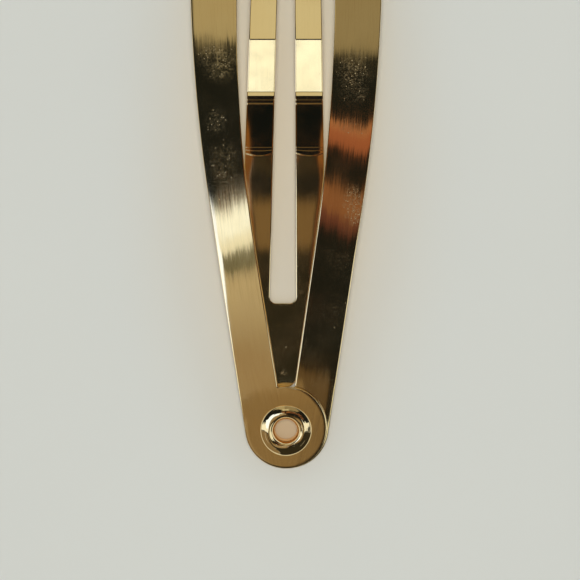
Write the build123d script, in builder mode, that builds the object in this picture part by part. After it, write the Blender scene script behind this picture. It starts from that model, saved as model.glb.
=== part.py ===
# Snap hair clip stamped from thin spring steel: a wide rounded heel, two arms that run together and
# overlap under a tubular eyelet, and a slotted tongue that passes under the arms and grips the hair.
# The clip is shut and lies on a flat surface. X runs across it, Y along it towards the wide heel,
# and Z up. The origin is on the surface, under the middle of the length. Sizes are millimetres.
from build123d import *
import os
from math import asin, atan2, cos, degrees, pi, sin

# Sheet and overall size
sheet = 0.45
length = 50.0
width = 14.6
arch_radius = 115.0
edge_tilt = 5.4  # degrees by which the arms lean down outwards at the heel

# Outline seen from above
heel_depth = 10.1  # from the end of the heel to the widest place, where the arms begin
outer_straight = 17.55  # of the long outer sides, beside the round end; above it they bow
window_width = 7.44  # between the arms, beside the root of the tongue
window_bow_depth = 13.0  # from the end of the heel to where the inner sides begin to close
inner_straight = 13.7  # of the arms' long inner sides, beside the eyelet; above it they bow
arm_width = 2.89  # at the eyelet
round_end_radius = 2.95
round_end_offset = 0.13  # each round end sits this far to its own side of the eyelet
gap_end_depth = 6.7  # from the end of the heel to the gaps beside the tongue

# Tongue seen from above
tongue_root_width = 5.12
tongue_width = 6.0
tongue_widest_from_root = 15.9
tongue_side_bend = 20.0
tongue_tip_width = 2.12
tongue_tip_corner = 0.75
tongue_tip_gap = 0.35  # from the tip to the round ends
tongue_lean = -0.62  # degrees
slot_root_width = 1.30
slot_end_width = 2.16
slot_end_corner = 0.5
slot_end_from_tip = 6.3
slot_into_heel = 2.0

# Tongue seen from the side
crease_from_root = 7.4
facet_length = 3.9
bead_width = 1.0
bead_height = 0.16
between_beads = 3.2
second_bead_width = 0.8
second_bead_height = 0.10

# Eyelet
bore = 1.65
barrel_wall = 0.28
roll_diameter = 3.9
roll_height = 0.42
lower_roll_diameter = 3.6
lower_roll_height = 0.34

# Clearances
lap_gap = 0.02
eyelet_fit = 0.03
tongue_clearance = 0.12

# Places that follow from the sizes
half_width = width / 2
half_window = window_width / 2
half_root = tongue_root_width / 2
rivet_y = round_end_radius - length / 2
lap_y = rivet_y + round_end_radius
root_y = length / 2 - heel_depth
lap_rise = (sheet + lap_gap) / 2
gap_line_x = (half_window + half_root) / 2  # middle of the gap beside the tongue's root
tilt = edge_tilt * pi / 180
margin = 2 * sheet  # how far a shape that gets trimmed runs past its outline
full_height = length / 2  # up and down from the surface, past the whole arch

# The arch leans until the end of the heel and the end of the lower arm stand on the same surface
apex_y = -arch_radius * lap_rise / length
arch_centre_z = -(((arch_radius - sheet) ** 2 - (length / 2 - apex_y) ** 2) ** 0.5)


def arch_angle(y):
    """How far round the arch the place y is, in radians from its top."""
    return asin((y - apex_y) / arch_radius)


def arch_point(y, depth):
    """The point (y, z) of the side view that lies depth under the top face, squarely below y."""
    turn = arch_angle(y)
    radius = arch_radius - depth
    return (apex_y + radius * sin(turn), arch_centre_z + radius * cos(turn))


def square_plane(y):
    """The plane that crosses the sheet squarely at y, with its Y out of the sheet's top face."""
    turn = arch_angle(y)
    return Plane(origin=(0, *arch_point(y, 0)), x_dir=(1, 0, 0), z_dir=(0, -cos(turn), sin(turn)))


def flat_plane(y):
    """The plane that lies on the sheet's top face at y, with its Z out of that face."""
    turn = arch_angle(y)
    return Plane(origin=(0, *arch_point(y, 0)), x_dir=(1, 0, 0), z_dir=(0, sin(turn), cos(turn)))


def arch_axis(across):
    """The axis that the arch is bent about: across is -1 to turn towards the heel, 1 away from it."""
    return Axis((0, apex_y, arch_centre_z), (across, 0, 0))


def lap_share(y):
    """How much of its lap an arm has taken up at y: none at its root and all where they overlap."""
    return sin(pi / 2 * (root_y - y) / (root_y - lap_y)) ** 2


def arm_edge(side, reach, start_y, straight, distance):
    """Draws one long edge of an arm: an arc that starts along Y at (reach, start_y), then a straight
    that passes the middle of the round end at the distance. Returns the end of the straight.
    Half the edge's turn has the tangent (inward way - distance) / (lengthwise way + straight)."""
    across = reach - round_end_offset
    along = start_y - rivet_y
    angle = 2 * atan2(across - distance, along + straight)
    bow = across + (along * cos(angle) - straight) / sin(angle)
    arc_start, arc_middle, arc_end = (
        (side * (reach - bow * (1 - cos(turn))), start_y - bow * sin(turn))
        for turn in (0, angle / 2, angle)
    )
    straight_end = (
        side * (round_end_offset + distance * cos(angle)),
        rivet_y - distance * sin(angle),
    )
    ThreePointArc(arc_start, arc_middle, arc_end)
    Line(arc_end, straight_end)
    return straight_end


# Arms: strips that lean outwards at the heel and twist flat until their round ends overlap
arm_stations = 6
outer_reach = half_width + margin
arms = {}
for name, side, lap in (("left_arm", -1, 1), ("right_arm", 1, -1)):
    with BuildPart() as arm:
        for station in range(arm_stations):
            y = root_y + (lap_y - root_y) * station / (arm_stations - 1)
            rise = lap * lap_rise * lap_share(y)
            lean = tilt * (1 - lap_share(y))
            inner_height = rise + lean * (outer_reach + gap_line_x)
            outer_height = rise - lean * (outer_reach - gap_line_x)
            with BuildSketch(square_plane(y)):
                with BuildLine():
                    Polyline(
                        (-side * outer_reach, inner_height),
                        (side * outer_reach, outer_height),
                        (side * outer_reach, outer_height - sheet),
                        (-side * outer_reach, inner_height - sheet),
                        close=True,
                    )
                make_face()
        loft()
        with BuildSketch(square_plane(lap_y)):
            with Locations((0, lap * lap_rise - sheet / 2)):
                Rectangle(2 * outer_reach, sheet)
        end_turn = arch_angle(lap_y) - arch_angle(-length / 2 - margin)
        revolve(axis=arch_axis(1), revolution_arc=degrees(end_turn))
        with BuildSketch(Plane.XY):
            with BuildLine():
                outer_end = arm_edge(side, half_width, root_y, outer_straight, round_end_radius)
                window_start = length / 2 - window_bow_depth
                inner_distance = round_end_radius - arm_width
                inner_end = arm_edge(side, half_window, window_start, inner_straight, inner_distance)
                Line(outer_end, inner_end)
                Polyline(
                    (side * half_width, root_y),
                    (side * half_width, root_y + margin),
                    (side * half_window, root_y + margin),
                    (side * half_window, window_start),
                )
            make_face()
            with Locations((side * round_end_offset, rivet_y)):
                Circle(round_end_radius)
        extrude(amount=full_height, both=True, mode=Mode.INTERSECT)
        with Locations(flat_plane(rivet_y)):
            Hole(bore / 2 + barrel_wall + eyelet_fit)
    arm.part.label = name
    arms[name] = arm

# Tongue: bent down at a crease so that it runs below the arms, with two pressed cross beads
crease_y = root_y - crease_from_root
facet_foot_y = crease_y - facet_length
bead_end_y = facet_foot_y - bead_width
second_bead_y = bead_end_y - between_beads
second_bead_end_y = second_bead_y - second_bead_width
tip_y = lap_y + tongue_tip_gap


def tongue_drop(y):
    """How far the tongue's top face lies under the arch at y, clear of the lower arm."""
    return sheet + tongue_clearance + lap_rise * lap_share(y)


tongue_stretches = (
    # start y, end y, height of the hump between them
    (facet_foot_y, bead_end_y, bead_height),
    (bead_end_y, second_bead_y, 0),
    (second_bead_y, second_bead_end_y, second_bead_height),
    (second_bead_end_y, tip_y - margin, 0),
)


def tongue_face(depth):
    """Draws the tongue's face that lies at the depth in its sheet, in side view. Returns its ends."""
    crease = arch_point(crease_y, depth)
    heel_end = arch_point(root_y, depth)
    ThreePointArc(heel_end, arch_point((root_y + crease_y) / 2, depth), crease)
    foot = arch_point(facet_foot_y, tongue_drop(facet_foot_y) + depth)
    Line(crease, foot)
    for start_y, end_y, hump in tongue_stretches:
        middle_y = (start_y + end_y) / 2
        middle = arch_point(middle_y, tongue_drop(middle_y) - hump + depth)
        end = arch_point(end_y, tongue_drop(end_y) + depth)
        ThreePointArc(foot, middle, end)
        foot = end
    return heel_end, foot


tongue_plane = Plane(
    origin=(0, root_y, 0),
    x_dir=(cos(tongue_lean * pi / 180), sin(tongue_lean * pi / 180), 0),
    z_dir=(0, 0, 1),
)
tip_from_root = root_y - tip_y
with BuildPart() as tongue:
    with BuildSketch(Plane.YZ):
        with BuildLine():
            top_heel, top_tip = tongue_face(0)
            bottom_heel, bottom_tip = tongue_face(sheet)
            Line(top_heel, bottom_heel)
            Line(top_tip, bottom_tip)
        make_face()
    extrude(amount=tongue_width, both=True)
    with BuildSketch(tongue_plane) as tongue_outline:
        with BuildLine():
            Polyline(
                (half_root, 0),
                (tongue_width / 2, -tongue_widest_from_root),
                (tongue_tip_width / 2, -tip_from_root),
                (-tongue_tip_width / 2, -tip_from_root),
                (-tongue_width / 2, -tongue_widest_from_root),
                (-half_root, 0),
                (-half_root, margin),
                (half_root, margin),
                close=True,
            )
        make_face()
        fillet(tongue_outline.vertices().group_by(Axis.Y)[0], tongue_tip_corner)
        fillet(tongue_outline.vertices().group_by(Axis.X)[0], tongue_side_bend)
        fillet(tongue_outline.vertices().group_by(Axis.X)[-1], tongue_side_bend)
    extrude(amount=full_height, both=True, mode=Mode.INTERSECT)

# Heel: the rounded wide end, which joins the arms and the tongue, flat in the middle with its
# sides leaning down like the arms' roots
side_crease_radius = (half_window - half_root) / 2 / sin(tilt / 2)
heel_drop = tilt * (outer_reach - gap_line_x)
with BuildPart() as heel_and_tongue:
    with BuildSketch(square_plane(root_y)) as heel_section:
        with BuildLine():
            Polyline(
                (-outer_reach, -heel_drop),
                (-gap_line_x, 0),
                (gap_line_x, 0),
                (outer_reach, -heel_drop),
                (outer_reach, -heel_drop - sheet),
                (gap_line_x, -sheet),
                (-gap_line_x, -sheet),
                (-outer_reach, -heel_drop - sheet),
                close=True,
            )
        make_face()
        side_creases = heel_section.vertices().filter_by_position(Axis.X, -half_window, half_window)
        fillet(side_creases, side_crease_radius)
    heel_turn = arch_angle(length / 2 + margin) - arch_angle(root_y)
    revolve(axis=arch_axis(-1), revolution_arc=degrees(heel_turn))
    with BuildSketch(Plane.XY):
        with BuildLine():
            EllipticalCenterArc((0, root_y), half_width, heel_depth, start_angle=0, arc_size=180)
            Polyline(
                (-half_width, root_y),
                (-half_width, root_y - margin),
                (half_width, root_y - margin),
                (half_width, root_y),
            )
        make_face()
        gap_width = half_window - half_root
        gap_length = heel_depth - gap_end_depth + margin
        gap_middle_y = length / 2 - gap_end_depth - gap_length / 2
        with Locations((-gap_line_x, gap_middle_y), (gap_line_x, gap_middle_y)):
            SlotOverall(gap_length, gap_width, rotation=90, mode=Mode.SUBTRACT)
    extrude(amount=full_height, both=True, mode=Mode.INTERSECT)
    add(tongue.part)
    slot_end = tip_from_root - slot_end_from_tip
    with BuildSketch(tongue_plane) as slot:
        with BuildLine():
            Polyline(
                (-slot_root_width / 2, slot_into_heel),
                (slot_root_width / 2, slot_into_heel),
                (slot_end_width / 2, -slot_end),
                (-slot_end_width / 2, -slot_end),
                close=True,
            )
        make_face()
        fillet(slot.vertices().group_by(Axis.Y)[0], slot_end_corner)
        fillet(slot.vertices().group_by(Axis.Y)[-1], slot_end_corner)
    extrude(amount=full_height, both=True, mode=Mode.SUBTRACT)
heel_and_tongue.part.label = "heel_and_tongue"

# Eyelet: a tube through both round ends, with its ends rolled outwards over them
stack_top = lap_rise + eyelet_fit
stack_bottom = -lap_rise - sheet - eyelet_fit
with BuildPart() as eyelet:
    with BuildSketch(square_plane(rivet_y)):
        with BuildLine():
            bore_radius = bore / 2
            barrel_radius = bore_radius + barrel_wall
            roll_middle = (bore_radius + roll_diameter / 2) / 2
            lower_middle = (bore_radius + lower_roll_diameter / 2) / 2
            Line((bore_radius, stack_bottom), (bore_radius, stack_top))
            ThreePointArc(
                (bore_radius, stack_top),
                (roll_middle, stack_top + roll_height),
                (roll_diameter / 2, stack_top),
            )
            Polyline(
                (roll_diameter / 2, stack_top),
                (barrel_radius, stack_top),
                (barrel_radius, stack_bottom),
                (lower_roll_diameter / 2, stack_bottom),
            )
            ThreePointArc(
                (lower_roll_diameter / 2, stack_bottom),
                (lower_middle, stack_bottom - lower_roll_height),
                (bore_radius, stack_bottom),
            )
        make_face()
    revolve(axis=Axis(square_plane(rivet_y).origin, square_plane(rivet_y).y_dir))
eyelet.part.label = "eyelet"

os.makedirs("parts", exist_ok=True)
export_step(heel_and_tongue.part, "parts/heel_and_tongue.step")
for name, arm in arms.items():
    export_step(arm.part, f"parts/{name}.step")
export_step(eyelet.part, "parts/eyelet.step")
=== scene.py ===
from math import atan2, cos, pi, radians, sin, tan

import bmesh
import bpy
import numpy as np
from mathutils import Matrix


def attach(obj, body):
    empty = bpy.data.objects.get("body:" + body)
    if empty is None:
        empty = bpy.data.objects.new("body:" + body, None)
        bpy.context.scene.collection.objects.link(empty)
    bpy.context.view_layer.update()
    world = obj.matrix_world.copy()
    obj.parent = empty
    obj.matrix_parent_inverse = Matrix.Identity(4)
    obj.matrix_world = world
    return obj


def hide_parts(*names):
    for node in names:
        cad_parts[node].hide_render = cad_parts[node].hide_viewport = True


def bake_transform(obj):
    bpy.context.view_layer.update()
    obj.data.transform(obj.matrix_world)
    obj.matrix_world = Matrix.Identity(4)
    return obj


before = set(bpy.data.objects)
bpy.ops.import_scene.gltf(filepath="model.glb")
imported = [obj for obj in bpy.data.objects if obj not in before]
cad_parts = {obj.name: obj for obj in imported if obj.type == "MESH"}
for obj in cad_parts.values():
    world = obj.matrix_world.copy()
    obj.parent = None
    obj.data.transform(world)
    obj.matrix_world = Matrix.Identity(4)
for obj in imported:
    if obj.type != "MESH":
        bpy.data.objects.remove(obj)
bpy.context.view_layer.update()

scene = bpy.context.scene
millimetre = 0.001

# Camera: the clip lies on its surface and is seen from straight above through a long lens, so near
# that the wide end runs out of the picture at the top.
view_width = 43.94  # millimetres of the clip that the picture takes in
view_middle = (0.303, -11.44)
view_level = 2.0  # height in the clip that this width is taken at
camera_height = 420.0
camera_data = bpy.data.cameras.new("camera")
camera_data.lens = camera_data.sensor_width * camera_height / view_width
camera_data.clip_start = 0.01
camera = bpy.data.objects.new("camera", camera_data)
scene.collection.objects.link(camera)
camera.location = (
    view_middle[0] * millimetre,
    view_middle[1] * millimetre,
    (camera_height + view_level) * millimetre,
)
scene.camera = camera
scene.view_settings.view_transform = "Standard"


# Studio: a pale tent lights the clip from all sides. Over it, where the camera hangs, the tent is dark,
# and large soft cards hang there to draw light bands along the mirror finish. A card is given by where
# a ray meets it, as sideways and lengthwise distance per unit of height.
class Socket:
    """A node's output. Sums with it add Math nodes, and node() adds any other node to its tree."""

    def __init__(self, tree, output=None):
        self.tree = tree
        self.output = output

    def node(self, kind, values=None, output=0, **settings):
        """Adds a node of a kind, with its settings first and then its sockets' values or links."""
        made = self.tree.nodes.new(kind)
        for name, setting in settings.items():
            setattr(made, name, setting)
        for name, value in (values or {}).items():
            if isinstance(value, Socket):
                self.tree.links.new(value.output, made.inputs[name])
            else:
                made.inputs[name].default_value = value
        return Socket(self.tree, made.outputs[output] if made.outputs else None)

    def beside(self, output):
        """Another output of the same node."""
        return Socket(self.tree, self.output.node.outputs[output])

    def math(self, operation, first, second):
        """A Math node on two values."""
        return self.node("ShaderNodeMath", {0: first, 1: second}, operation=operation)

    def __add__(self, other):
        return self.math("ADD", self, other)

    def __radd__(self, other):
        return self.math("ADD", other, self)

    def __sub__(self, other):
        return self.math("SUBTRACT", self, other)

    def __rsub__(self, other):
        return self.math("SUBTRACT", other, self)

    def __mul__(self, other):
        return self.math("MULTIPLY", self, other)

    def __rmul__(self, other):
        return self.math("MULTIPLY", other, self)

    def __truediv__(self, other):
        return self.math("DIVIDE", self, other)

    def step(self, low, high):
        """Rises smoothly from 0 at low to 1 at high."""
        return self.node(
            "ShaderNodeMapRange",
            {"Value": self, "From Min": low, "From Max": high},
            interpolation_type="SMOOTHSTEP",
        )

    def mixed(self, colour, share):
        """This colour, with a share of another one mixed in."""
        return self.node(
            "ShaderNodeMix", {"Factor": share, "A": self, "B": colour}, "Result", data_type="RGBA"
        )


tent_light = (0.62, 0.62, 0.60)
dark_light = (0.011, 0.0125, 0.012)
hood_reach = (0.90, 1.20)
lowest_ray = 0.05
cards = (
    # across from, to, soft, along from, to, soft, light; a later card hangs in front of an earlier one
    (-0.36, 1.40, 0.050, -2.60, -0.570, 0.020, (0.030, 0.026, 0.017)),  # dark, beyond the round ends
    (-1.50, -0.36, 0.050, -2.00, -0.520, 0.040, (0.23, 0.17, 0.10)),  # brown beside it
    (-0.36, 0.00, 0.040, 0.214, 1.50, 0.006, (0.39, 0.35, 0.24)),  # tan, beyond the heel
    (0.00, 0.36, 0.040, 0.165, 1.50, 0.006, (0.27, 0.235, 0.155)),
    (-0.085, 0.085, 0.030, 0.165, 0.257, 0.006, (0.60, 0.577, 0.453)),
    (-0.42, -0.200, 0.008, -0.19, -0.040, 0.012, (1.10, 1.35, 2.10)),  # bright, at the sides
    (-0.60, -0.140, 0.012, -0.40, -0.105, 0.010, (1.10, 1.35, 2.00)),
    (-1.00, -0.180, 0.020, -0.47, -0.320, 0.020, (0.95, 1.02, 1.10)),
    (-1.00, -0.550, 0.020, -0.38, -0.200, 0.030, (0.95, 1.02, 1.10)),
    (0.24, 0.80, 0.020, -0.50, -0.175, 0.015, (0.95, 1.02, 1.10)),
    (0.12, 0.46, 0.020, -0.52, -0.370, 0.010, (0.80, 0.84, 0.80)),
    (-0.150, -0.025, 0.008, -0.565, -0.120, 0.020, (0.31, 0.25, 0.17)),  # left arm, gold
    (-0.150, -0.014, 0.006, -0.565, -0.300, 0.020, (0.31, 0.24, 0.155)),
    (-0.150, -0.025, 0.008, -0.24, -0.070, 0.070, (0.46, 0.41, 0.31)),
    (-0.150, -0.025, 0.008, -0.150, -0.080, 0.006, (0.14, 0.14, 0.10)),  # grey streak
    (-0.200, -0.025, 0.008, -0.112, -0.040, 0.007, (0.88, 0.94, 0.98)),  # cream
    (-0.200, -0.025, 0.008, -0.085, -0.038, 0.010, (1.04, 1.22, 1.52)),
    (0.045, 0.42, 0.006, 0.026, 0.049, 0.005, (0.40, 0.185, 0.098)),  # right arm, orange
    (0.045, 0.42, 0.006, 0.007, 0.036, 0.007, (0.31, 0.108, 0.056)),
    (0.045, 0.42, 0.006, -0.120, -0.075, 0.012, (0.125, 0.047, 0.036)),
    (0.045, 0.42, 0.006, -0.099, -0.055, 0.006, (0.235, 0.108, 0.054)),
    (0.016, 0.12, 0.004, -0.58, -0.325, 0.030, (0.020, 0.016, 0.011)),  # and brown at its end
    (0.016, 0.040, 0.010, -0.62, -0.305, 0.015, (0.105, 0.070, 0.038)),
    (-0.030, 0.012, 0.004, -0.565, -0.334, 0.014, (0.24, 0.17, 0.09)),  # round ends
    (-0.115, -0.021, 0.004, -0.040, 0.10, 0.010, (0.215, 0.088, 0.024)),  # tongue's margins
    (-0.085, -0.021, 0.004, -0.080, -0.028, 0.010, (0.16, 0.072, 0.026)),
    (-0.036, -0.021, 0.004, -0.27, -0.065, 0.010, (0.20, 0.088, 0.030)),
    (0.021, 0.100, 0.004, -0.045, 0.10, 0.015, (0.24, 0.102, 0.034)),
    (0.021, 0.036, 0.004, -0.27, -0.045, 0.02, (0.15, 0.065, 0.028)),
    (-0.016, 0.016, 0.005, -0.020, 0.160, 0.005, (0.003, 0.006, 0.008)),  # tongue
    (-0.014, 0.014, 0.005, -0.055, -0.026, 0.010, (0.036, 0.030, 0.020)),
    (-0.014, 0.014, 0.005, -0.168, -0.096, 0.014, (0.178, 0.120, 0.060)),
    (-0.014, 0.014, 0.005, -0.275, -0.168, 0.010, (0.020, 0.019, 0.014)),
    (-0.013, 0.013, 0.003, -0.312, -0.281, 0.003, (1.20, 1.36, 1.55)),  # tongue's facet
)
world = bpy.data.worlds.new("studio")
scene.world = world
world.use_nodes = True
world.node_tree.nodes.clear()
sky = Socket(world.node_tree)
ray = sky.node("ShaderNodeTexCoord", {}, "Generated")
ray_x = sky.node("ShaderNodeSeparateXYZ", {"Vector": ray}, "X")
ray_up = sky.math("MAXIMUM", ray_x.beside("Z"), lowest_ray)
across = ray_x / ray_up
along = ray_x.beside("Y") / ray_up
off_axis = sky.math("SQRT", across * across + along * along, 0.0)
light = sky.node("ShaderNodeRGB")
light.output.default_value = (*tent_light, 1.0)
light = light.mixed((*dark_light, 1.0), 1 - off_axis.step(*hood_reach))
for left, right, soft_side, near, far, soft_end, colour in cards:
    inside = across.step(left - soft_side, left + soft_side)
    inside = inside * (1 - across.step(right - soft_side, right + soft_side))
    inside = inside * along.step(near - soft_end, near + soft_end)
    inside = inside * (1 - along.step(far - soft_end, far + soft_end))
    light = light.mixed((*colour, 1.0), inside)
background = sky.node("ShaderNodeBackground", {"Color": light, "Strength": 1.0})
sky.node("ShaderNodeOutputWorld", {"Surface": background})

# Overhead lamp: a small round softbox close about the camera, which lights the surface down through
# the clip's openings. It is kept out of the mirror finish.
lamp_data = bpy.data.lights.new("overhead", "AREA")
lamp_data.shape = "DISK"
lamp_data.size = 0.11
lamp_data.energy = 1.25
lamp_data.color = (1.0, 0.985, 0.945)
lamp = bpy.data.objects.new("overhead", lamp_data)
lamp.location = (0.0, -0.011, 0.5)
lamp.visible_glossy = False
lamp.visible_camera = False
scene.collection.objects.link(lamp)

# Surface under the clip: a wide sheet of pale matt board, faintly clouded. Painted bounce light tints it
# warm in a wide oval round the clip and under the eyelet's hole, for the light the gilding throws back.
board_half = 3.0
board_tint = (0.735, 0.755, 0.712)
board_rough = 0.8
cloud_scale = 60.0
cloud_dark = 0.97
# painted bounce light: a warm tint in an oval round the clip, standing in for light thrown back by the
# gilding
painted_bounce_tint = (0.78, 0.71, 0.565)
painted_bounce_share = 0.8
painted_bounce_shift = (0, 0.05, 0)
painted_bounce_scale = (105, 45, 0)  # from metres to the oval's own measure
painted_bounce_fade = (0.1, 1.5)
# painted bounce light under the eyelet's hole: a warmer tint where the gilded bore throws light down
bore_painted_bounce_tint = (0.70, 0.55, 0.35)
bore_painted_bounce_fade = (0.6, 1.8)  # millimetres from the hole's middle
rivet_y = -22.05
board_mesh = bpy.data.meshes.new("board")
board_mesh.from_pydata(
    [(x * board_half, y * board_half, 0.0) for x, y in ((-1, -1), (1, -1), (1, 1), (-1, 1))],
    [],
    [(0, 1, 2, 3)],
)
board = bpy.data.objects.new("board", board_mesh)
scene.collection.objects.link(board)
board_material = bpy.data.materials.new("pale_board")
board_material.use_nodes = True
board_nodes = Socket(board_material.node_tree)
board_shader = board_material.node_tree.nodes["Principled BSDF"]
board_place = board_nodes.node("ShaderNodeTexCoord", {}, "Object")
cloud = board_nodes.node(
    "ShaderNodeTexNoise", {"Vector": board_place, "Scale": cloud_scale, "Detail": 3.0}
)
board_colour = board_nodes.node("ShaderNodeRGB")
board_colour.output.default_value = (*board_tint, 1.0)
board_colour = board_colour.mixed((*(cloud_dark * c for c in board_tint), 1.0), cloud)


def far_from(place, shift, scale):
    """Distance of a place from the origin, after it is scaled and shifted by a Mapping node."""
    moved = place.node("ShaderNodeMapping", {"Vector": place, "Location": shift, "Scale": scale})
    return place.node("ShaderNodeVectorMath", {0: moved}, "Value", operation="LENGTH")


# painted bounce light mixed into the board's colour round the clip
painted_bounce = 1 - far_from(board_place, painted_bounce_shift, painted_bounce_scale).step(*painted_bounce_fade)
board_colour = board_colour.mixed((*painted_bounce_tint, 1.0), painted_bounce * painted_bounce_share)
round_rivet = ((0, -rivet_y, 0), (1 / millimetre, 1 / millimetre, 0))
# painted bounce light mixed into the board's colour under the eyelet's hole
bore_painted_bounce = 1 - far_from(board_place, *round_rivet).step(*bore_painted_bounce_fade)
board_colour = board_colour.mixed((*bore_painted_bounce_tint, 1.0), bore_painted_bounce)
board_material.node_tree.links.new(board_colour.output, board_shader.inputs["Base Color"])
board_shader.inputs["Roughness"].default_value = board_rough
board_mesh.materials.append(board_material)


# Clip: one piece of thin spring steel, stamped, arched and twisted, then gilded. Its rounded heel and
# its two arms are one mesh. Sizes are in millimetres. They are the CAD's, but for the fine shape of the
# arms' faces and of the round ends.
sheet = 0.45
length = 50.0
half_width = 7.3
heel_depth = 10.1
arch_radius = 115.0
root_y = 14.9
half_root = 2.56
half_window = 3.72
lap_y = -19.1
lap_rise = 0.235
gap_line = (half_window + half_root) / 2
gap_radius = (half_window - half_root) / 2
gap_top_y = length / 2 - 6.7
seam_y = gap_top_y - gap_radius
apex_y = -arch_radius * lap_rise / length
arch_centre_z = -(((arch_radius - sheet) ** 2 - (length / 2 - apex_y) ** 2) ** 0.5)


def lap_share(y):
    """How much of its lap an arm has taken up at y: a squared quarter sine from its root to its end."""
    return np.sin(pi / 2 * np.clip((root_y - y) / (root_y - lap_y), 0, 1)) ** 2


def on_arch(y, rise):
    """Height of a circle about the arch's axis that passes rise over the arch's top face, at y."""
    return arch_centre_z + np.sqrt((arch_radius + rise) ** 2 - (y - apex_y) ** 2)


# The arms lean and curl by laws of their own. The upper arm is the left one (lap 1), and the lower arm
# is the right one (lap -1).
heel_lean = radians(5.4)
arm_lean = radians(5.2)
end_lean = radians(1.5)
twist_y, twist_run, twist_power = 7.5, 20.0, 2.4  # the lean falls off from here, over this run
level_y, level_run, level_lap = -19.75, 2.8, 0.65  # and the rest of it ends here, at the round ends
own_lean_y = 10.6  # between the root and here, an arm goes over to its own lean
pivot_shift = 0.35  # the upper arm turns about a line this far inside its middle
margin = 0.55  # width of the outer margin that curls down
margin_limit = 0.8
arm_curl = 0.03  # slope that the curl adds over the margin's width
long_curl, long_curl_lap, long_curl_y, long_curl_run = 0.045, 0.025, -16.0, 8.0
end_curl = 0.025
lower_fall, lower_fall_from = 0.008, 1.3  # the lower round end's own slope
round_y = -21.89
round_end = 3.11
lower_offset = 0.12  # the lower round end's middle lies this far to its side
rim_width, rim_limit = 0.22, 0.3
rim_curl, rim_curl_lap = 0.06, 0.03
rim_top_y = -18.5
rim_side = 0.5  # the rim is free on the side beyond this line
rim_end_y, rim_end_run = -21.0, 1.5  # and at the clip's end


def frame_height(a, y, depth, lap, across_at):
    """Height of the heel and of an arm at the distance a to its side, at a depth in the sheet. The heel
    is flat in its middle and leans down evenly outside a bend. An arm's middle line falls from the
    heel's lean to none along a squared quarter sine, and it rises (lap 1) or sinks (lap -1) by half the
    lap. About that line the arm leans by its own angle, which falls off with the squared complement of
    a power, and its outer margin curls down a little more, as a parabola. The lower round end falls
    evenly away towards its side, and the rims of both round ends curl down, as parabolas too."""
    share = lap_share(y)
    bend = np.clip(a - half_root, 0, half_window - half_root)
    heel_fall = bend**2 / (2 * (half_window - half_root)) + np.maximum(a - half_window, 0)
    outer, inner = across_at[0](y), across_at[1](y)
    middle = (outer + inner) / 2

    untwisted = (1 - np.clip((twist_y - y) / twist_run, 0, 1) ** twist_power) ** 2
    lean = end_lean + (arm_lean - end_lean) * untwisted
    fade = np.clip((y - level_y + level_lap * lap) / level_run, 0, 1)
    lean = lean * fade**2 * (3 - 2 * fade)
    rooted = np.clip((y - own_lean_y) / (root_y - own_lean_y), 0, 1)
    rooted = rooted**2 * (3 - 2 * rooted)
    long_way = np.clip((y - long_curl_y) / long_curl_run, 0, 1)
    curl = arm_curl * fade + (long_curl + long_curl_lap * lap) * long_way
    curl = curl + end_curl * (1 - lap) * (1 - fade)
    into_margin = np.clip(margin - (outer - a), 0, margin_limit)
    own_fall = lean * (a - middle + pivot_shift / 2 * (1 + lap))
    own_fall = own_fall + curl * (1 - rooted) * into_margin**2 / (2 * margin)
    if lap < 0:
        own_fall = own_fall + lower_fall * (1 - fade) * np.maximum(a - lower_fall_from, 0)
    cad_fall = heel_lean * (1 - share) * (a - gap_line)
    middle_fall = heel_lean * (1 - share) * (middle - gap_line)
    arm_fall = cad_fall * rooted + (middle_fall + own_fall) * (1 - rooted)

    free = np.maximum(np.clip(rim_side - a, 0, 1), np.clip((rim_end_y - y) / rim_end_run, 0, 1))
    from_middle = np.hypot(a - lower_offset / 2 * (1 - lap), y - round_y)
    rim = np.clip(from_middle - (round_end - rim_width), 0, rim_limit) ** 2 / (2 * rim_width)
    rim = np.where(y < rim_top_y, rim, 0)
    arm_fall = arm_fall + (rim_curl + rim_curl_lap * lap) * free * rim
    fall = np.where(y < root_y, arm_fall, heel_lean * heel_fall)
    return on_arch(y, lap * lap_rise * share - fall - depth)


roll_width = 0.06  # gentle roll of the top edge that the stamping leaves
roll_turn = radians(20)
roll_radius = 0.015  # sharp turn into the edge's wall
edge_break = 0.04  # and the one underneath
edge_roll = roll_width + roll_radius * (1 - sin(roll_turn))


def edge_profile():
    """Inset and depth of the points down a stamped edge: a flat arc, a sharp one, a wall and an arc."""
    gentle = np.linspace(0, roll_turn, 5)
    sharp = np.linspace(roll_turn, pi / 2, 5)[1:]
    lower = np.linspace(0, pi / 2, 4)
    big = roll_width / sin(roll_turn)
    roll_depth = big * (1 - cos(roll_turn))
    inset = np.concatenate(
        [
            edge_roll - big * np.sin(gentle),
            roll_radius * (1 - np.sin(sharp)),
            edge_break * (1 - np.cos(lower)),
            [edge_roll],
        ]
    )
    depth = np.concatenate(
        [
            big * (1 - np.cos(gentle)),
            roll_depth + roll_radius * (cos(roll_turn) - np.cos(sharp)),
            sheet - edge_break * (1 - np.sin(lower)),
            [sheet],
        ]
    )
    return inset, depth


def inward(path, first, last):
    """Unit normals to the left of a path: its tangent from point to point, turned a quarter. The first
    and the last are given, so that the two halves of a piece meet."""
    tangent = np.gradient(path, axis=0)
    normal = np.stack([-tangent[:, 1], tangent[:, 0]], -1)
    normal /= np.linalg.norm(normal, axis=1, keepdims=True)
    normal[0] = first
    normal[-1] = last
    return normal


def edge_band(path, normal, height):
    """A stamped edge: the edge profile carried along a path, from the top face to the lower one."""
    inset, depth = edge_profile()
    flat = path[None] + inset[:, None, None] * normal[None]
    up = height(flat[..., 0], flat[..., 1], depth[:, None])
    return np.concatenate([flat, up[..., None]], -1)


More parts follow.
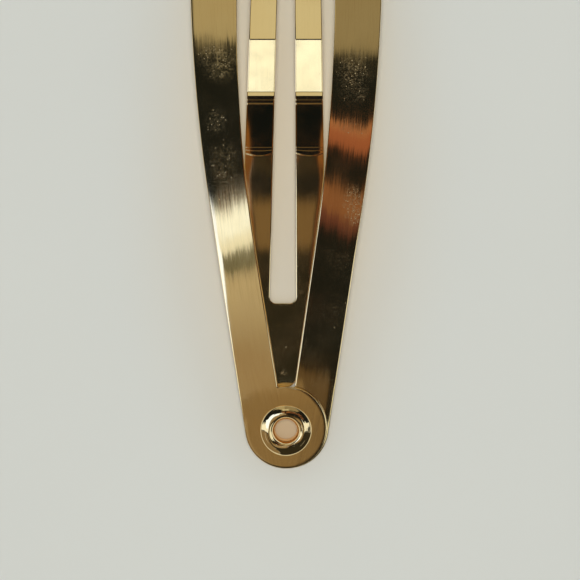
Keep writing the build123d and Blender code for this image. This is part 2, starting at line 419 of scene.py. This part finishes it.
crossing = (1 - np.cos(np.linspace(0, pi, 19))) / 2  # closer together at both edges


def two_faces(path_a, path_b, height):
    """The top and the lower face between two paths: straight lines across, from point to point."""
    flat = path_a[None] + crossing[:, None, None] * (path_b - path_a)[None]
    return [
        np.concatenate([flat, height(flat[..., 0], flat[..., 1], depth)[..., None]], -1)
        for depth in (0.0, sheet)
    ]


def joined(*paths):
    """Paths end to end, without the points that they share."""
    return np.concatenate([paths[0]] + [path[1:] for path in paths[1:]])


def arc(centre, radius, start, end, count):
    """Points on a circle, evenly from one angle to another."""
    turn = np.linspace(start, end, count)
    return np.stack([centre[0] + radius * np.cos(turn), centre[1] + radius * np.sin(turn)], -1)


def line(start, end, count):
    """Points on a straight line, evenly from one end to the other."""
    share = np.linspace(0, 1, count)[:, None]
    return np.array(start) * (1 - share) + np.array(end) * share


def arm_edge(reach, start_y, straight, distance, offset):
    """One long edge of an arm as a function of y: a circle that starts along Y at the reach, then a
    straight that passes the round end's middle at the distance. Returns it with the straight's angle
    and the foot of the perpendicular from that middle."""
    side_way = reach - offset
    long_way = start_y - round_y
    angle = 2 * atan2(side_way - distance, long_way + straight)
    bow = side_way + (long_way * cos(angle) - straight) / sin(angle)
    foot = (offset + distance * cos(angle), round_y - distance * sin(angle))

    def across_at(y):
        below = np.clip(start_y - y, 0, bow * sin(angle))
        bowed = reach - bow + np.sqrt(bow**2 - below**2)
        return np.where(start_y - y < bow * sin(angle), bowed, foot[0] + (y - foot[1]) * tan(angle))

    return across_at, angle, foot


smooth_angle = radians(50)  # faces that meet more sharply than this keep their edge


def closed_mesh(name, grids):
    """One mesh from grids of points: each grid gives faces between its neighbouring points, points that
    coincide become one, ends that are still open are closed, and all faces are turned outwards."""
    points, faces, first = [], [], 0
    for grid in grids:
        index = first + np.arange(grid.shape[0] * grid.shape[1]).reshape(grid.shape[:2])
        corners = (index[:-1, :-1], index[1:, :-1], index[1:, 1:], index[:-1, 1:])
        faces.append(np.stack(corners, -1).reshape(-1, 4))
        points.append(grid.reshape(-1, 3))
        first += index.size
    mesh = bpy.data.meshes.new(name)
    mesh.from_pydata(np.concatenate(points) * millimetre, [], np.concatenate(faces).tolist())
    shell = bmesh.new()
    shell.from_mesh(mesh)
    bmesh.ops.remove_doubles(shell, verts=shell.verts, dist=2e-8)
    open_edges = [edge for edge in shell.edges if edge.is_boundary]
    if open_edges:
        bmesh.ops.holes_fill(shell, edges=open_edges, sides=0)
    bmesh.ops.recalc_face_normals(shell, faces=shell.faces)
    shell.to_mesh(mesh)
    shell.free()
    mesh.shade_smooth()
    mesh.set_sharp_from_angle(angle=smooth_angle)
    piece = bpy.data.objects.new(name, mesh)
    scene.collection.objects.link(piece)
    return piece


outer_straight = 17.55
eyelet_hole = 1.135
corner_fillet = 0.12
cut_y = -20.3  # the round end's faces start here, and run round the hole

seam_count, gap_arc_count, gap_side_count, strip_count = 17, 25, 12, 181
to_round_count, round_count, fillet_count = 12, 121, 9
heel_count = seam_count + gap_arc_count + gap_side_count - 2
heel_turn = np.interp(
    np.arange(heel_count),
    (0, seam_count - 1, seam_count + gap_arc_count - 2, heel_count - 1),
    (pi / 2, radians(68), radians(28), 0),
)
heel_edge = np.stack(
    [half_width * np.cos(heel_turn), root_y + heel_depth * np.sin(heel_turn)], -1
)
strip_start = heel_count - 1
round_start = strip_start + strip_count - 1


def half_frame(side, lap, offset, inner_start_y, inner_straight, inner_offset):
    """One half of the heel with its arm and round end. Its free edge runs, as (distance to its side, y),
    clockwise from the middle of the heel's end, so that the metal lies on its right hand."""
    outer_at, outer_angle, outer_foot = arm_edge(
        half_width, root_y, outer_straight, round_end, offset
    )
    inner_at, inner_angle, inner_foot = arm_edge(
        half_window, inner_start_y, inner_straight, inner_offset, offset
    )

    def height(a, y, depth):
        return frame_height(a, y, depth, lap, (outer_at, inner_at))

    outer_y = np.linspace(root_y, cut_y, strip_count)
    outer_edge = np.stack([outer_at(outer_y), outer_y], -1)
    to_round = line(outer_edge[-1], outer_foot, to_round_count)
    up_line = np.array([sin(inner_angle), cos(inner_angle)])
    to_window = np.array([-cos(inner_angle), sin(inner_angle)])
    fillet_up = ((round_end + corner_fillet) ** 2 - (corner_fillet - inner_offset) ** 2) ** 0.5
    fillet_middle = np.array(inner_foot) + fillet_up * up_line + corner_fillet * to_window
    round_middle = np.array([offset, round_y])
    to_middle = round_middle - fillet_middle
    fillet_start = atan2(to_middle[1], to_middle[0])
    fillet_end = atan2(-to_window[1], -to_window[0])
    round_stop = atan2(-to_middle[1], -to_middle[0]) - 2 * pi
    round_edge = arc(round_middle, round_end, -outer_angle, round_stop, round_count)
    fillet_edge = arc(fillet_middle, corner_fillet, fillet_start, fillet_end, fillet_count)
    inner_y = np.linspace(fillet_edge[-1][1], root_y, strip_count)
    inner_edge = np.stack([inner_at(inner_y), inner_y], -1)
    gap_side = line((half_window, root_y), (half_window, seam_y), gap_side_count)
    gap_arc = arc((gap_line, seam_y), gap_radius, 0, pi, gap_arc_count)
    free_edge = joined(
        heel_edge, outer_edge, to_round, round_edge, fillet_edge, inner_edge, gap_side, gap_arc
    )
    into_metal = -inward(free_edge, first=(0, 1), last=(1, 0))
    inset_edge = free_edge + edge_roll * into_metal
    inner_start = len(free_edge) - (strip_count + gap_side_count + gap_arc_count - 2)
    gap_start = inner_start + strip_count - 1
    heel_seam = line((0, seam_y), inset_edge[-1], seam_count)
    heel_inner = joined(heel_seam, inset_edge[gap_start:][::-1])
    cut_line = inset_edge[round_start] + crossing[:, None] * (
        inset_edge[inner_start] - inset_edge[round_start]
    )
    round_outline = joined(inset_edge[round_start : inner_start + 1], cut_line[::-1])
    from_rivet = round_outline - (0, rivet_y)
    from_rivet /= np.linalg.norm(from_rivet, axis=1, keepdims=True)
    hole_edge = np.array([0, rivet_y]) + eyelet_hole * from_rivet
    half = [
        edge_band(free_edge, into_metal, height),
        edge_band(hole_edge, from_rivet, height),
        *two_faces(inset_edge[: strip_start + 1], heel_inner, height),
        *two_faces(
            inset_edge[strip_start : round_start + 1],
            inset_edge[inner_start : gap_start + 1][::-1],
            height,
        ),
        *two_faces(round_outline, hole_edge + edge_roll * from_rivet, height),
    ]
    return [grid * (side, 1, 1) for grid in half]


frame_grids = half_frame(
    -1, 1, 0.0, inner_start_y=9.5, inner_straight=13.0, inner_offset=0.16
) + half_frame(
    1, -1, lower_offset, inner_start_y=12.5, inner_straight=14.5, inner_offset=0.12
)
clip_frame = closed_mesh("clip_frame", frame_grids)

# Its gilding is a thin gold plating over polished steel. Polishing leaves fine streaks along each
# piece, the sheared walls of the edges stay duller, and handling leaves dust and a few scratches.
gilt_colour = (1.0, 0.79, 0.43)
deep_colour = (0.97, 0.74, 0.38)  # cloudy patches
streak_colour = (0.80, 0.58, 0.28)  # along the polishing streaks
wall_colour = (0.62, 0.43, 0.22)
dust_colour = (0.53, 0.43, 0.23)
streak_scales = ((15000, 300), (2600, 150))  # fine and broad: to a metre, across and along
broad_share = 0.4
ripple_scale = 900.0
patterns = ((0.0, 0.0), (3.7, 555.0))  # of the tilt across and along: salt, and added to the ripples
half_salt = 9  # sets the right half's streaks apart from the left's
grains = (
    # cells to a metre, a grain's reach in its cell, most of the cells that hold one, weight
    (6800.0, 0.34, 0.42, 0.42),
    (4000.0, 0.22, 0.16, 0.60),
    (2000.0, 0.15, 0.10, 1.00),
)
grain_core, grain_blur = 0.4, 0.04
soil_scale, soil_edge = 420.0, (0.35, 0.65)  # patches in which more dust lies
clean_share, least_soil = 0.05, 0.25  # dust outside the zones, and outside the patches in them
zone_edge = (0.4, 1.25)
film_scale, film_twist, film_edge, film_share = 5200.0, 1.5, (0.45, 0.68), 0.18
scratch_scale, scratch_width = 330.0, (0.001, 0.004)
break_scale, break_edge, scratch_share = 610.0, (0.60, 0.66), 0.3
deep_scale, deep_edge, deep_share = 260.0, (0.4, 0.7), 0.6
streak_edge = (0.50, 0.74)
bore_edge = (0.93, 1.06)  # millimetres from the rivet's middle
wall_edge = (0.1, 0.5)  # upward part of the normal
wall_rough, worn_rough, worn_dull = 0.22, 0.4, 0.9
side_edge = 0.0001


def gilding(name, roughness, streak, ripple, wear, dust, middle_fall=0.0, bore=None):
    """A gilt finish. Its normal is tilted by streak noise, fine across the piece and long along it, and by
    round ripples. The streaks draw in to the middle with the square of the distance from the arms' root,
    times middle_fall. Dust settles in zones given as (x, y, reach across, reach along, share). An eyelet
    has a bore of another tone round the rivet's middle, and sheet metal has duller walls."""
    material = bpy.data.materials.new(name)
    material.use_nodes = True
    shader = material.node_tree.nodes["Principled BSDF"]
    nodes = Socket(material.node_tree)
    place = nodes.node("ShaderNodeTexCoord", {}, "Object")
    x = nodes.node("ShaderNodeSeparateXYZ", {"Vector": place}, "X")
    y = x.beside("Y")

    def noise(scale, detail, vector=place, **values):
        values = {"Vector": vector, "Scale": scale, "Detail": detail, **values}
        return nodes.node("ShaderNodeTexNoise", values)

    on_right = x.step(-side_edge, side_edge)
    from_root = root_y * millimetre - y
    lane = nodes.math("ABSOLUTE", x, 0.0) + middle_fall * from_root * from_root
    tilt = []
    for salt, finer in patterns:
        fine, broad = (
            noise(
                1.0,
                2.0,
                nodes.node(
                    "ShaderNodeCombineXYZ",
                    {"X": lane * crosswise, "Y": y * lengthwise, "Z": on_right * half_salt + salt},
                ),
            )
            for crosswise, lengthwise in streak_scales
        )
        round_wave = noise(ripple_scale + finer, 2.0)
        streaks = (fine - 0.5) * streak + (broad - 0.5) * (broad_share * streak)
        tilt.append(streaks + (round_wave - 0.5) * ripple)
    tilt = nodes.node("ShaderNodeCombineXYZ", {"X": tilt[0], "Y": tilt[1]})
    normal = nodes.node("ShaderNodeNewGeometry", {}, "Normal")
    upward = nodes.node("ShaderNodeSeparateXYZ", {"Vector": normal}, "Z")
    normal = nodes.node("ShaderNodeVectorMath", {0: normal, 1: tilt}, operation="ADD")
    normal = nodes.node("ShaderNodeVectorMath", {0: normal}, operation="NORMALIZE")

    soil = noise(soil_scale, 2.0).step(*soil_edge)
    crowd = soil * clean_share
    for zone_x, zone_y, reach_x, reach_y, share in dust:
        aside = (x - zone_x * millimetre) / (reach_x * millimetre)
        beyond = (y - zone_y * millimetre) / (reach_y * millimetre)
        far = nodes.math("SQRT", aside * aside + beyond * beyond, 0.0)
        settled = (1 - far.step(*zone_edge)) * share * (least_soil + (1 - least_soil) * soil)
        crowd = nodes.math("MAXIMUM", crowd, settled)
    film = noise(film_scale, 3.0, Distortion=film_twist).step(*film_edge) * crowd * film_share
    off_line = nodes.math("ABSOLUTE", noise(scratch_scale, 1.0) - 0.5, 0.0)
    scratch = 1 - off_line.step(*scratch_width)
    scratch = scratch * noise(break_scale, 0.0).step(*break_edge) * crowd * scratch_share
    worn = nodes.math("MAXIMUM", film, scratch)
    for scale, reach, most, weight in grains:
        cell = nodes.node("ShaderNodeTexVoronoi", {"Vector": place, "Scale": scale}, "Distance")
        pick = nodes.node("ShaderNodeSeparateColor", {"Color": cell.beside("Color")}, "Red")
        held = pick.step(1 - most * crowd, 1 + grain_blur - most * crowd)
        grain = (1 - cell.step(grain_core * reach, reach)) * held
        worn = nodes.math("MAXIMUM", worn, grain * weight)

    colour = nodes.node("ShaderNodeRGB")
    colour.output.default_value = (*gilt_colour, 1.0)
    deep = noise(deep_scale, 3.0).step(*deep_edge) * deep_share
    colour = colour.mixed((*deep_colour, 1.0), deep)
    colour = colour.mixed((*streak_colour, 1.0), fine.step(*streak_edge) * wear)
    rough = roughness + soil * (0.4 * roughness) + worn * worn_rough
    if bore:
        in_bore = 1 - far_from(place, *round_rivet).step(*bore_edge)
        colour = colour.mixed((*bore, 1.0), in_bore)
    else:
        wall = 1 - nodes.math("ABSOLUTE", upward, 0.0).step(*wall_edge)
        colour = colour.mixed((*wall_colour, 1.0), wall)
        rough = rough + wall * wall_rough
    colour = colour.mixed((*dust_colour, 1.0), worn)
    links = material.node_tree.links
    links.new(colour.output, shader.inputs["Base Color"])
    links.new((1 - worn * worn_dull).output, shader.inputs["Metallic"])
    links.new(rough.output, shader.inputs["Roughness"])
    links.new(normal.output, shader.inputs["Normal"])
    return material


arm_dust = (
    # x, y, reach across, reach along, share
    (-5.1, 5.8, 1.5, 1.5, 1.0),
    (-5.3, 1.2, 0.9, 1.1, 0.8),
    (-4.7, -1.9, 1.2, 2.0, 0.6),
    (-4.4, -4.2, 1.1, 1.1, 0.4),
    (5.0, 4.6, 1.5, 2.2, 0.75),
    (4.9, 0.8, 1.5, 0.8, 0.35),
    (5.1, -5.0, 0.8, 1.5, 2.0),
    (4.0, -10.5, 1.5, 6.0, 0.16),
)
gilt_arms = gilding(
    "gilt_arms",
    roughness=0.055,
    streak=0.016,
    ripple=0.003,
    wear=0.35,
    dust=arm_dust,
    middle_fall=2.9,
)
clip_frame.data.materials.append(gilt_arms)

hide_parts("left_arm", "right_arm")
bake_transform(clip_frame)

# Tongue: the middle of the same steel, bent down at a crease so that it grips hair under the arms,
# with a long slot, a pressed bead under the bent facet and a slighter one after it.
half_tongue = 3.05
half_tip = 1.08
tip_y = -18.87
tip_corner = 1.05
widest_y = -3.0
side_round = 1.37
slot_top_y = 16.9
slot_end_y = -12.45
half_slot = (0.58, 1.01)
slot_corner = 0.5
tongue_skew = tan(radians(0.62))  # the tongue points a little to the left
root_shift, root_shift_run = 0.05, 4.0


def tongue_half(y):
    """Half the tongue's width at y: it widens evenly to its widest place and narrows evenly to its tip,
    with a smooth turn between the two slopes."""
    widening = (half_tongue - half_root) / (root_y - widest_y)
    narrowing = (half_tip - half_tongue) / (widest_y - tip_y)
    turned = np.clip(widest_y + side_round - y, 0, 2 * side_round)
    past = np.maximum(widest_y - side_round - y, 0)
    return (
        half_root
        + widening * np.maximum(root_y - y, 0)
        + (narrowing - widening) * (turned**2 / (4 * side_round) + past)
    )


def slot_half(y):
    """Half the slot's width at y, which grows evenly towards its end."""
    return np.interp(y, (slot_end_y, slot_top_y), half_slot[::-1])


crease_y = 7.5
facet_slope = 0.165
level_slope = -0.028
tongue_slopes = np.array(
    [
        # place along the tongue, slope there
        (crease_y + 0.01, -0.070),
        (crease_y - 0.01, facet_slope),
        (3.565, facet_slope),
        (3.540, -0.085),  # first bead
        (3.270, -0.088),
        (3.235, -0.030),
        (3.01, -0.030),
        (2.97, 0.150),
        (2.94, 0.150),
        (2.90, -0.010),
        (2.76, 0.000),
        (2.70, 0.075),
        (2.60, 0.060),
        (2.52, level_slope),
        (-0.60, -0.010),  # second bead
        (-0.65, 0.100),
        (-0.71, -0.020),
        (-0.86, -0.020),
        (-0.91, 0.100),
        (-0.97, 0.000),
        (-1.22, 0.000),
        (-1.28, 0.120),
        (-1.35, 0.020),
        (-1.42, 0.030),
    ]
)
tail_y, tail_slope = -12.0, 0.115
tip_bend_y, tip_bend = -17.3, 0.0075
profile_end_y, profile_count = -26, 9001
profile_y = np.linspace(seam_y + 1, profile_end_y, profile_count)
arch_slope = -(profile_y - apex_y) / np.sqrt(arch_radius**2 - (profile_y - apex_y) ** 2)
bent_slope = np.interp(-profile_y, -tongue_slopes[:, 0], tongue_slopes[:, 1])
bent_end_y, bent_end_slope = tongue_slopes[-1]
tail_share = np.clip((bent_end_y - profile_y) / (bent_end_y - tail_y), 0, 1)
lower_slope = bent_end_slope + (tail_slope - bent_end_slope) * tail_share
lower_slope = lower_slope + tip_bend * np.clip(tip_bend_y - profile_y, 0, 1)
profile_slope = np.where(
    profile_y > tongue_slopes[0, 0],
    arch_slope,
    np.where(profile_y > bent_end_y, bent_slope, lower_slope),
)
steps = np.diff(profile_y) * (profile_slope[1:] + profile_slope[:-1]) / 2
profile_z = on_arch(profile_y[0], 0.0) + np.concatenate([[0], np.cumsum(steps)])

bead_bow = 0.22  # the second bead's middle lies this much further along than its ends
bow_y, bow_run = -0.75, 0.30
unbow_y, unbow_run = -3.0, 1.5
curl_y, curl_run = 2.4, 3.0  # the legs' margins start to curl here
uncurl_y, uncurl_run, least_curl = -14.0, 8.0, 0.3
margin_past = 0.25


def tongue_height(a, y, depth, margin_width, margin_slope):
    """Height of the tongue: the side view's profile, which is the sum of its slopes from the heel. The
    second bead is bowed across each leg, and the legs' outer margins curl down as a parabola."""
    across_leg = (a - (slot_half(y) + tongue_half(y)) / 2) / ((tongue_half(y) - slot_half(y)) / 2)
    near_bead = np.clip((bow_y - y) / bow_run, 0, 1) * np.clip((y - unbow_y) / unbow_run, 0, 1)
    place = y - bead_bow * across_leg**2 * near_bead
    slope = np.interp(-place, -profile_y, profile_slope)
    into_margin = np.clip(margin_width - (tongue_half(y) - a), 0, margin_width + margin_past)
    curl = margin_slope * np.clip((curl_y - y) / curl_run, 0, 1)
    curl = curl * np.clip((y - uncurl_y) / uncurl_run, least_curl, 1)
    curl = curl * into_margin**2 / (2 * margin_width)
    return np.interp(-place, -profile_y, profile_z) - curl - depth * np.sqrt(1 + slope**2)


def corner(before, vertex, after, radius, count):
    """A rounded corner between two straight lines: the circle that touches both."""
    before, vertex, after = (np.array(point, float) for point in (before, vertex, after))
    back = (before - vertex) / np.linalg.norm(before - vertex)
    on = (after - vertex) / np.linalg.norm(after - vertex)
    half_turn = np.arccos(np.clip(back @ on, -1, 1)) / 2
    middle = vertex + radius / sin(half_turn) * (back + on) / np.linalg.norm(back + on)
    start = vertex + back * radius / tan(half_turn) - middle
    end = vertex + on * radius / tan(half_turn) - middle
    first = atan2(start[1], start[0])
    turn = (atan2(end[1], end[0]) - first + pi) % (2 * pi) - pi
    return arc(middle, radius, first, first + turn, count)


def stretches(ends, counts):
    """Values that run evenly from each end to the next, with a count of points for each stretch."""
    runs = [np.linspace(*run)[:-1] for run in zip(ends, ends[1:], counts)]
    return np.concatenate(runs + [ends[-1:]])


web_count, slot_top_count, slot_corner_count, slot_end_count = 5, 4, 9, 8
low_count, tip_count, end_count = 28, 13, 6
slot_side = (slot_half(0), 0)
top_corner = corner(
    (0, slot_top_y), (half_slot[0], slot_top_y), slot_side, slot_corner, slot_corner_count
)
low_corner = corner(
    slot_side, (half_slot[1], slot_end_y), (0, slot_end_y), slot_corner, slot_corner_count
)
side_y = stretches(
    (top_corner[-1][1], 8.0, 7.0, 3.8, 2.3, -0.3, -1.6, low_corner[0][1]),
    (30, 30, 22, 91, 26, 53, 52),  # closer together at the crease and at the beads
)
slot_edge = joined(
    line((0, slot_top_y), top_corner[0], slot_top_count),
    top_corner,
    np.stack([slot_half(side_y), side_y], -1),
    low_corner,
    line(low_corner[-1], (0, slot_end_y), slot_end_count),
)
into_rim = inward(slot_edge, first=(0, 1), last=(0, -1))
inset_slot = slot_edge + edge_roll * into_rim

below_slot_y = -13.4
on_side_y = -5  # a place on the straight lower side
above_count = web_count + slot_top_count + slot_corner_count - 2
below_count = slot_corner_count + slot_end_count - 1
tip_round = corner(
    (tongue_half(on_side_y), on_side_y), (half_tip, tip_y), (0, tip_y), tip_corner, tip_count
)
tongue_y = joined(
    np.linspace(seam_y, side_y[0], above_count),
    side_y,
    np.linspace(side_y[-1], below_slot_y, below_count),
    np.linspace(below_slot_y, tip_round[0][1], low_count),
)
tongue_edge = joined(
    np.stack([tongue_half(tongue_y), tongue_y], -1),
    tip_round,
    line(tip_round[-1], (0, tip_y), end_count),
)
into_tongue = -inward(tongue_edge, first=(1, 0), last=(0, -1))
inset_tongue = tongue_edge + edge_roll * into_tongue
web_end_y = tip_y + 1.1  # where the rows that run round the tip end
middle_line = joined(
    line((0, seam_y), inset_slot[0], web_count),
    inset_slot,
    line(inset_slot[-1], (0, web_end_y), low_count + tip_count + end_count - 2),
)
tongue_grids = []
for side, margin_width, margin_slope in ((-1, 0.60, 0.020), (1, 0.48, 0.019)):

    def side_height(a, y, depth):
        return tongue_height(a, y, depth, margin_width, margin_slope)

    half = [
        edge_band(tongue_edge, into_tongue, side_height),
        edge_band(slot_edge, into_rim, side_height),
        *two_faces(inset_tongue, middle_line, side_height),
    ]
    for grid in half:
        turned = grid * (side, 1, 1)
        below_root = np.maximum(root_y - turned[..., 1], 0)
        shift = root_shift * np.clip(below_root / root_shift_run, 0, 1)
        turned[..., 0] += shift - tongue_skew * below_root
        tongue_grids.append(turned)
tongue = closed_mesh("tongue", tongue_grids)

tongue_dust = (
    (-0.15, -17.7, 0.36, 0.24, 2.0),
    (-0.45, -14.6, 0.35, 1.20, 0.4),
    (0.1, -12.0, 2.0, 6.0, 0.25),
)
gilt_tongue = gilding(
    "gilt_tongue", roughness=0.04, streak=0.006, ripple=0.002, wear=0.12, dust=tongue_dust
)
tongue.data.materials.append(gilt_tongue)

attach(tongue, "heel")
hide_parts("heel_and_tongue")

# Eyelet: a short brass tube through both round ends, its two mouths rolled outwards over them and
# gilded with the rest, bright and a little uneven from the tool.
rivet_turn = np.arcsin((rivet_y - apex_y) / arch_radius)
eyelet_corners = np.array(
    [
        # distance from the tube's axis, height over the arch
        (0.825, -0.500),
        (0.825, 0.000),
        (0.870, 0.220),
        (0.970, 0.400),
        (1.070, 0.475),
        (1.170, 0.502),
        (1.300, 0.510),  # crown of the upper roll
        (1.420, 0.503),
        (1.530, 0.483),
        (1.650, 0.450),
        (1.770, 0.410),
        (1.880, 0.372),
        (1.950, 0.330),
        (1.950, 0.262),
        (1.500, 0.262),
        (1.110, 0.240),
        (1.105, 0.000),
        (1.105, -0.500),
        (1.110, -0.690),
        (1.400, -0.712),
        (1.760, -0.720),
        (1.800, -0.800),
        (1.640, -0.960),
        (1.300, -1.060),  # crown of the lower roll
        (0.980, -0.990),
        (0.850, -0.820),
    ]
)
corner_cuts = 3
crown_reach, crown_width, crown_from = 1.30, 0.22, 0.4
rim_from = 1.6


def softened(loop, rounds):
    """A closed loop with its corners cut at a quarter and three quarters of each side, again and again."""
    for _ in range(rounds):
        following = np.roll(loop, -1, axis=0)
        cut = np.stack([0.75 * loop + 0.25 * following, 0.25 * loop + 0.75 * following], 1)
        loop = cut.reshape(-1, 2)
    return loop


eyelet_turn = np.linspace(0, 2 * pi, 193)


def wave(size, count, phase):
    """A sine wave of a size that runs round the eyelet a count of times."""
    return size * np.sin(count * eyelet_turn + phase)


eyelet_profile = softened(eyelet_corners, corner_cuts)
eyelet_profile = np.concatenate([eyelet_profile, eyelet_profile[:1]])
reach, height_over = (eyelet_profile[:, None, column] for column in (0, 1))
on_crown = np.exp(-(((reach - crown_reach) / crown_width) ** 2)) * (height_over > crown_from)
ring_reach = reach + on_crown * (wave(0.045, 2, 0.7) + wave(0.025, 3, 2.1))
ring_reach = ring_reach + wave(0.012, 3, 0.6) * (reach > rim_from)
ring_up = height_over + on_crown * wave(0.012, 4, 1.3)
ring_along = ring_reach * np.sin(eyelet_turn)
eyelet_grid = np.stack(
    [
        ring_reach * np.cos(eyelet_turn),
        rivet_y + ring_along * cos(rivet_turn) + ring_up * sin(rivet_turn),
        on_arch(rivet_y, 0.0) - ring_along * sin(rivet_turn) + ring_up * cos(rivet_turn),
    ],
    -1,
)
eyelet = closed_mesh("eyelet_ring", [eyelet_grid])

bore_colour = (0.92, 0.60, 0.26)
gilt_rolled = gilding(
    "gilt_rolled", roughness=0.05, streak=0.01, ripple=0.10, wear=0.15, dust=(), bore=bore_colour
)
eyelet.data.materials.append(gilt_rolled)

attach(eyelet, "arms")
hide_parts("eyelet")
